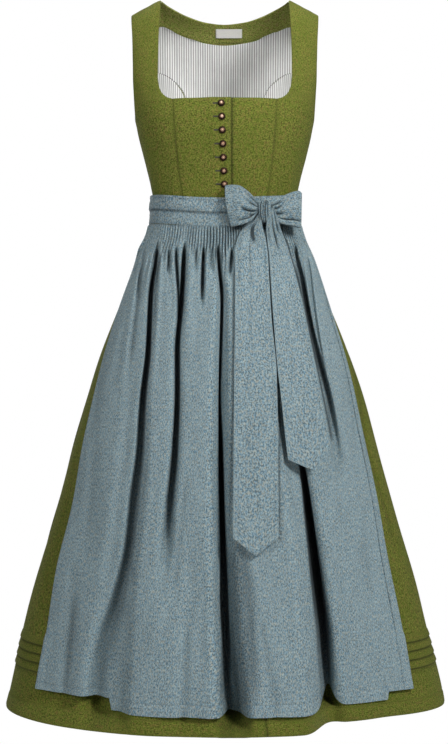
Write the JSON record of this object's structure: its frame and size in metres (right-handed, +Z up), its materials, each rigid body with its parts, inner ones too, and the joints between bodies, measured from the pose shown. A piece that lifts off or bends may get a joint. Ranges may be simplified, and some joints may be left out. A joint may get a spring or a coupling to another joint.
{
  "type": "dirndl dress",
  "caption": "Sleeveless folk dress with fitted buttoned bodice, full gathered skirt and an apron tied in a bow, filled out as if worn.",
  "frame": {"origin": "midway between the two shoulder seams, where the wearer's shoulders hold the dress", "axes": "+Z up, the front of the dress faces -Y, +X is the viewer's right"},
  "size_m": [0.808, 0.5701, 1.2962],
  "materials": {
    "green_felt": "heathered olive-green felted cloth, matt, with a short nap",
    "blue_linen": "grey-blue slubbed linen with pale flecks and a slight sheen",
    "striped_lining": "pale grey cotton with fine upright pinstripes",
    "label_tape": "plain white woven tape",
    "copper": "antique copper with dark hollows"
  },
  "bodies": {
    "root": {"front_right_centre": "green_felt", "front_left_centre": "green_felt", "front_right_side": "green_felt", "front_left_side": "green_felt", "back_centre": "green_felt", "back_right_side": "green_felt", "back_left_side": "green_felt", "back_neck_facing": "green_felt", "lining_back_centre": "striped_lining", "lining_back_right": "striped_lining", "lining_back_left": "striped_lining", "neck_label": "label_tape", "skirt_front_right": "green_felt", "skirt_front_left": "green_felt", "skirt_back": "green_felt", "apron_panel": "blue_linen", "apron_band": "blue_linen", "tie_round_back": "blue_linen", "tie_over_right": "blue_linen", "tie_over_left": "blue_linen", "bow_loop_right": "blue_linen", "bow_loop_left": "blue_linen", "bow_knot": "blue_linen", "bow_end_long": "blue_linen", "bow_end_short": "blue_linen", "button_1": "copper", "button_2": "copper", "button_3": "copper", "button_4": "copper", "button_5": "copper", "button_6": "copper", "button_7": "copper"}
  },
  "joints": []
}
